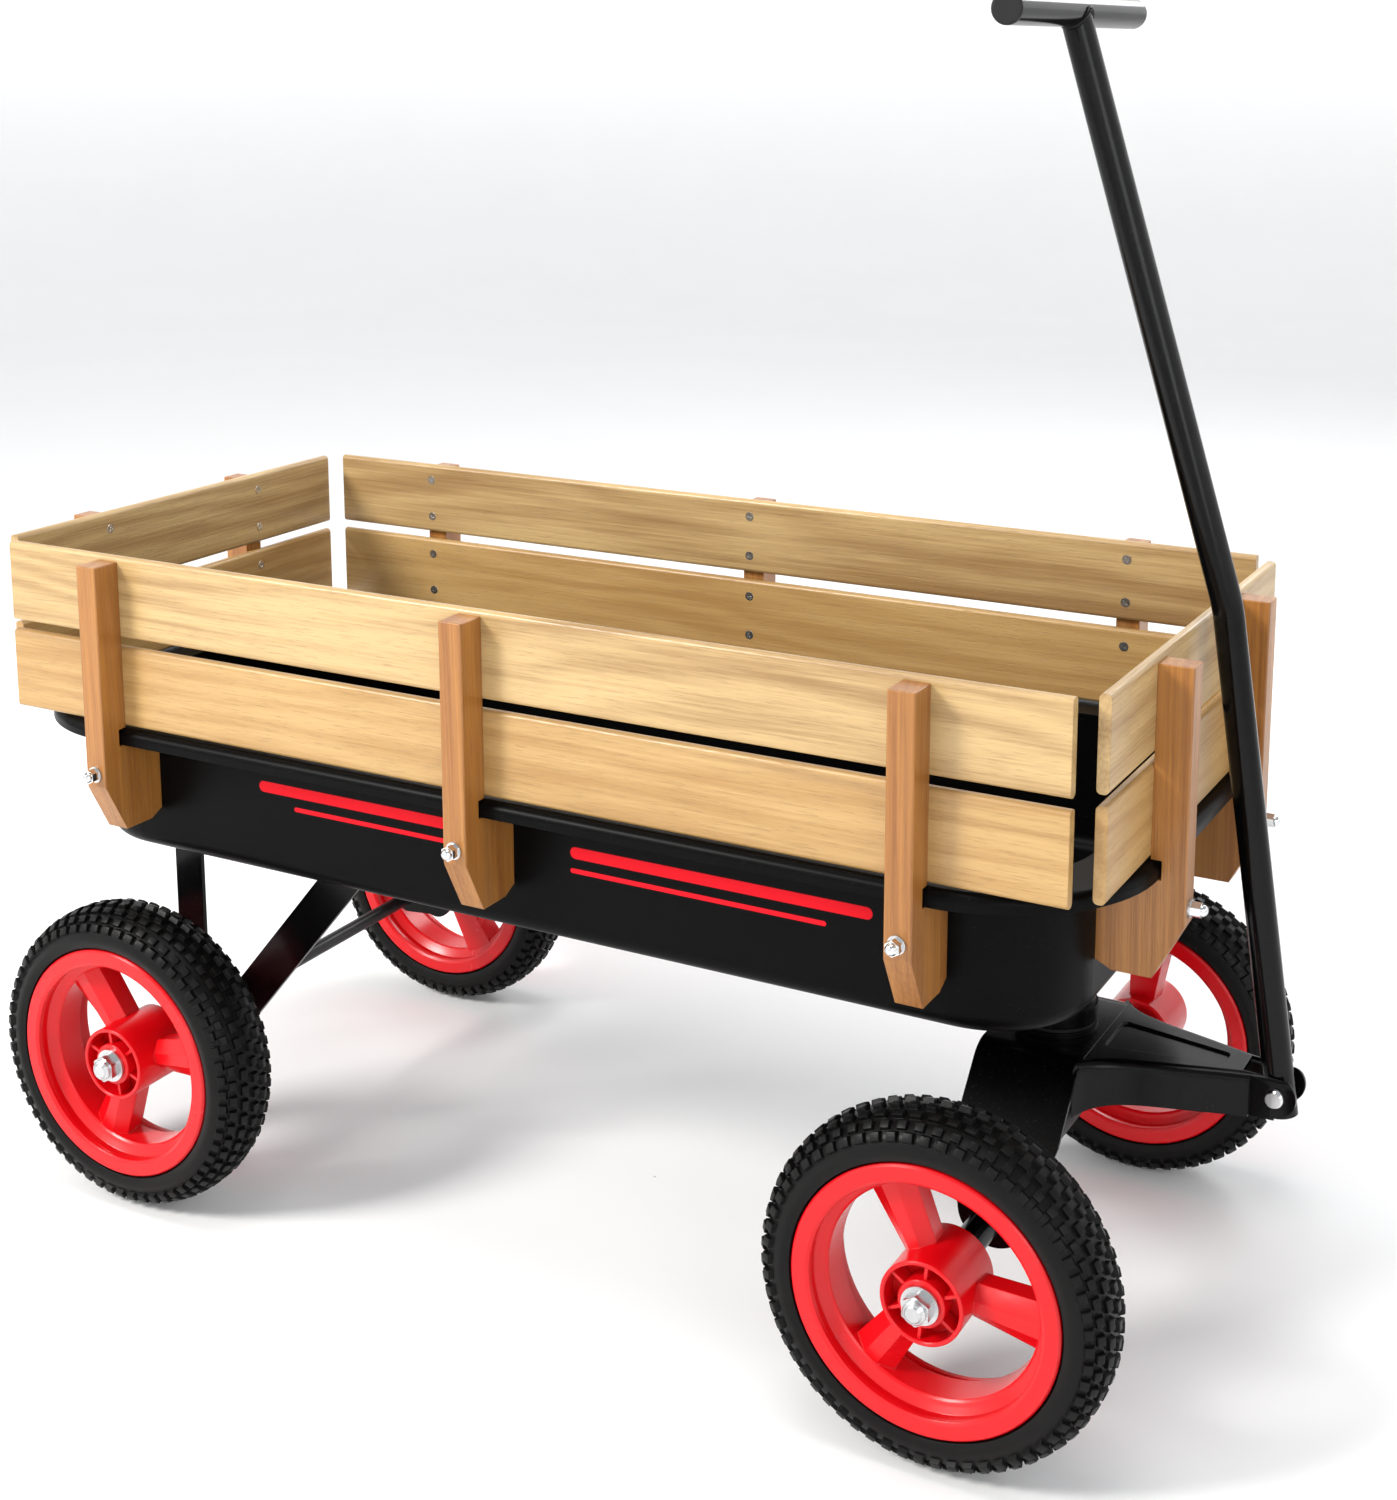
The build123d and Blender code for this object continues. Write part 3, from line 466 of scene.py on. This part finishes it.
def carcass_section(seat, bead, centre, half_width):
    """The tyre's section as (radius, side) points: seat, bead, sidewall and crown."""
    crown = []
    for n in range(-12, 13):
        lean = math.radians(84.0) * n / 12
        crown.append((centre + (CROWN_HEIGHT - TREAD_HEIGHT) * math.cos(lean),
                      (CROWN_WIDTH - 1.2 * MM) * math.sin(lean)))
    left = [(seat, -half_width * 0.75), (bead, -half_width * 0.78), (bead + 1.2 * MM, -half_width * 0.93),
            (bead + 5.0 * MM, -half_width * 0.985), (bead + 9.0 * MM, -half_width * 0.995)]
    right = [(radius, -side) for radius, side in reversed(left)]
    return left + crown + right


def make_tyres():
    tree, block = tread_tree(), tread_block()
    for wheel in WHEELS:
        low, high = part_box(f"tyre_{wheel}")
        rim_low, rim_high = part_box(f"rim_{wheel}")
        middle = (low + high) / 2
        outer = (high.z - low.z) / 2
        bead = (rim_high.z - rim_low.z) / 2 + 0.4 * MM
        centre = outer - CROWN_HEIGHT
        section = carcass_section(bead - 8.0 * MM, bead, centre, (high.y - low.y) / 2)
        loops = []
        for n in range(128):
            turn = math.tau * n / 128
            loops.append([(r * math.sin(turn), side, r * math.cos(turn)) for r, side in section])
        base = loops_mesh(f"carcass_{wheel}", loops)
        mesh = tree.mesh_on(base, {
            "Blocks around": TREAD_AROUND, "Rows": TREAD_ROWS, "Row angle": TREAD_SPREAD,
            "Section centre": centre, "Half width": CROWN_WIDTH - 1.4 * MM,
            "Half height": CROWN_HEIGHT - TREAD_HEIGHT, "Block": block, "Finish": FINISH["foam_tyre"]})
        mesh.transform(Matrix.Translation(middle))
        piece_from(f"treaded_tyre_{wheel}", mesh, "foam_tyre", "foam_tyre",
                   f"wheel_{wheel}", f"tyre_{wheel}", smooth=40.0)
    bpy.data.objects.remove(block)


# ---------------------------------------------------------------- screws
def screw_head():
    """A flush screw head facing +X, with a cross-shaped driver recess."""
    radius, rim, depth, arm, slot = 3.9 * MM, 0.45 * MM, 1.3 * MM, 2.3 * MM, 0.55 * MM
    shape = bmesh.new()
    ring = [shape.verts.new((0.0, radius * math.cos(turn), radius * math.sin(turn)))
            for turn in (math.tau * n / 24 for n in range(24))]
    cross = []
    for quarter in range(4):
        for y, z in ((arm, -slot), (arm, slot), (slot, slot)):
            cross.append(Matrix.Rotation(math.pi / 2 * quarter, 3, "X") @ Vector((0.0, y, z)))
    recess = [shape.verts.new(point) for point in cross]
    edges = [shape.edges.new((loop[n], loop[(n + 1) % len(loop)]))
             for loop in (ring, recess) for n in range(len(loop))]
    bmesh.ops.triangle_fill(shape, use_beauty=True, edges=edges, normal=Vector((1.0, 0.0, 0.0)))
    for loop, inset, back in ((ring, 1.06, -rim), (recess, 0.7, -depth)):
        deep = [shape.verts.new((back, v.co.y * inset, v.co.z * inset)) for v in loop]
        for n in range(len(loop)):
            following = (n + 1) % len(loop)
            shape.faces.new((loop[n], loop[following], deep[following], deep[n]))
        shape.faces.new(deep)
    bmesh.ops.recalc_face_normals(shape, faces=shape.faces)
    mesh = bpy.data.meshes.new("screw_head")
    shape.to_mesh(mesh)
    shape.free()
    head = bpy.data.objects.new("screw_head", mesh)
    bpy.context.scene.collection.objects.link(head)
    return head


def screw_spots():
    """Where the screws sit, as (place, turn about Z): on the boards' inner faces, behind every upright."""
    spots = []
    turns = {"right": math.pi / 2, "left": -math.pi / 2, "front": math.pi, "rear": 0.0}
    for node in sorted(NODES):
        if not node.startswith("stake_") or node in ("stake_bolts", "stake_washers", "stake_cap_nuts"):
            continue
        side = node.split("_")[1]
        low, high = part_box(node)
        for level in ("lower", "upper"):
            board_low, board_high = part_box(f"board_{side}_{level}")
            inner = {"right": board_high.y, "left": board_low.y,
                     "front": board_low.x, "rear": board_high.x}[side]
            for z in (board_low.z + SCREW_EDGE, board_high.z - SCREW_EDGE):
                if side in ("right", "left"):
                    place = ((low.x + high.x) / 2, inner, z)
                else:
                    place = (inner, (low.y + high.y) / 2, z)
                spots.append((place, turns[side]))
    return spots


def make_screws():
    tree = Modifier("screws", {
        "Stands proud": "NodeSocketFloat", "Seed": "NodeSocketInt",
        "Head": "NodeSocketObject", "Finish": "NodeSocketMaterial"})
    turn = tree.node("GeometryNodeInputNamedAttribute", {"data_type": "FLOAT"}, {"Name": "turn"})
    spin = tree.node("FunctionNodeRandomValue", {"data_type": "FLOAT"}, {
        2: 0.0, 3: math.pi / 2, "Seed": tree.input("Seed")}, output=1)
    facing = tree.node("FunctionNodeEulerToRotation", None, {"Euler": tree.vector(spin, 0.0, turn)})
    head_shape = tree.node(
        "GeometryNodeObjectInfo", None, {"Object": tree.input("Head")}, output="Geometry")
    raised = tree.node("GeometryNodeTransform", None, {
        "Geometry": head_shape, "Translation": tree.vector(tree.input("Stands proud"), 0.0, 0.0)})
    heads = tree.node("GeometryNodeInstanceOnPoints", None, {
        "Points": tree.input("Geometry"), "Instance": raised, "Rotation": facing})
    tree.end(heads)

    spots = screw_spots()
    base = bpy.data.meshes.new("screw_spots")
    base.from_pydata([place for place, _ in spots], [], [])
    turns = base.attributes.new("turn", "FLOAT", "POINT")
    turns.data.foreach_set("value", [turn for _, turn in spots])
    head = screw_head()
    mesh = tree.mesh_on(base, {
        "Stands proud": 0.25 * MM, "Seed": 4, "Head": head, "Finish": FINISH["zinc_plate"]})
    bpy.data.objects.remove(head)
    piece_from("screw_heads", mesh, "zinc_plate", "zinc_plate", "wagon", "board_screws", smooth=25.0)


# ---------------------------------------------------------------- handle weld
def make_handle_weld():
    """The rippled weld bead round the tube's coped end, where it meets the grip."""
    grip_low, grip_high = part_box("grip")
    grip = (grip_low + grip_high) / 2
    radius = (grip_high.z - grip_low.z) / 2
    along = Vector((-math.sin(GRIP_END_LEAN), 0.0, math.cos(GRIP_END_LEAN)))
    across = Vector((math.cos(GRIP_END_LEAN), 0.0, math.sin(GRIP_END_LEAN)))
    loops = []
    for n in range(144):
        turn = math.tau * n / 144
        side = Vector((0.0, 1.0, 0.0))
        drop = radius * abs(math.sin(turn))
        drop = math.sqrt(drop * drop + (1.5 * MM) ** 2)
        outward = (across * math.cos(turn) + side * math.sin(turn)).normalized()
        middle = grip + outward * radius - along * drop
        bead = WELD_R * (1 + 0.10 * math.sin(turn * 34))
        loops.append([middle + outward * (bead * math.cos(a)) + along * (bead * math.sin(a))
                      for a in (math.tau * k / 8 for k in range(8))])
    mesh = loops_mesh("handle_weld", loops)
    piece_from("handle_weld", mesh, "gloss_black", "gloss_black", "handle", smooth=60.0)


# ---------------------------------------------------------------- stage
def make_stage():
    """A pale studio floor that curves up into a backdrop all round."""
    flat, bend, top = 6.0, 2.0, 5.0
    profile = [(0.001, 0.0), (1.5, 0.0), (3.0, 0.0), (flat, 0.0)]
    profile += [(flat + bend * math.sin(a), bend * (1 - math.cos(a)))
                for a in (math.pi / 2 * n / 10 for n in range(1, 11))]
    profile.append((flat + bend, top))
    loops = [[(r * math.cos(math.tau * n / 96), r * math.sin(math.tau * n / 96), z) for n in range(96)]
             for r, z in profile]
    mesh = loops_mesh("studio_floor", loops, close_loops=False)
    mesh.shade_smooth()
    paint = Paint("studio_floor")
    cloud = paint.noise(paint.place, 3.0, detail=3.0)
    colour = paint.mix(cloud, (0.88, 0.88, 0.88, 1.0), (0.91, 0.91, 0.91, 1.0))
    _, _, height = paint.split(paint.place)
    # painted light: the backdrop glows, from no glow at the floor up to a full white glow 2.4 m up
    painted_backdrop_glow = paint.mix(paint.ease(height, 0.05, 2.4), (0.0, 0.0, 0.0, 1.0), (1.0, 1.0, 1.0, 1.0))
    mesh.materials.append(paint.finish(
        colour, 0.7 + cloud * 0.1, Emission_Color=painted_backdrop_glow, Emission_Strength=0.60))
    floor = bpy.data.objects.new("studio_floor", mesh)
    bpy.context.scene.collection.objects.link(floor)


def aimed(at, target):
    """A turn that points -Z from one place to another."""
    return (Vector(target) - Vector(at)).to_track_quat("-Z", "Y").to_matrix().to_4x4()


def make_lights():
    world = bpy.data.worlds.new("studio")
    world.use_nodes = True
    world.node_tree.nodes["Background"].inputs["Color"].default_value = (0.95, 0.97, 1.0, 1.0)
    world.node_tree.nodes["Background"].inputs["Strength"].default_value = 0.50
    bpy.context.scene.world = world
    lamps = (
        ("key", (-2.0, -2.7, 2.6), 1.1, 148.0, (1.0, 0.98, 0.95)),
        ("fill", (2.6, -2.4, 1.6), 1.6, 16.0, (0.95, 0.97, 1.0)),
        ("back", (0.6, 2.9, 2.4), 1.4, 34.0, (1.0, 1.0, 1.0)),
        ("top", (0.0, -0.1, 3.4), 1.8, 45.0, (1.0, 1.0, 1.0)),
    )
    for name, at, size, power, tint in lamps:
        light = bpy.data.lights.new(name, "AREA")
        light.shape = "DISK"
        light.size = size
        light.energy = power
        light.color = tint
        lamp = bpy.data.objects.new(name, light)
        bpy.context.scene.collection.objects.link(lamp)
        lamp.matrix_world = Matrix.Translation(at) @ aimed(at, (0.0, 0.0, 0.3))


def make_camera():
    azimuth, elevation = math.radians(CAMERA_AZIMUTH), math.radians(CAMERA_ELEVATION)
    back = Vector((math.sin(azimuth) * math.cos(elevation), -math.cos(azimuth) * math.cos(elevation),
                   math.sin(elevation)))
    right = Vector((math.cos(azimuth), math.sin(azimuth), 0.0))
    up = back.cross(right)
    turn = Matrix((right, up, back)).transposed().to_4x4()
    lens = bpy.data.cameras.new("camera")
    lens.lens = CAMERA_LENS
    lens.sensor_width = 36.0
    lens.shift_x, lens.shift_y = CAMERA_SHIFT
    camera = bpy.data.objects.new("camera", lens)
    bpy.context.scene.collection.objects.link(camera)
    camera.matrix_world = Matrix.Translation(CAMERA_AT) @ turn
    bpy.context.scene.camera = camera
    bpy.context.scene.view_settings.view_transform = "Standard"


WHEELS = tuple(f"{end}_{side}" for end in ("front", "rear") for side in ("right", "left"))
make_tyres()
make_screws()
make_handle_weld()
make_stage()
make_lights()
make_camera()
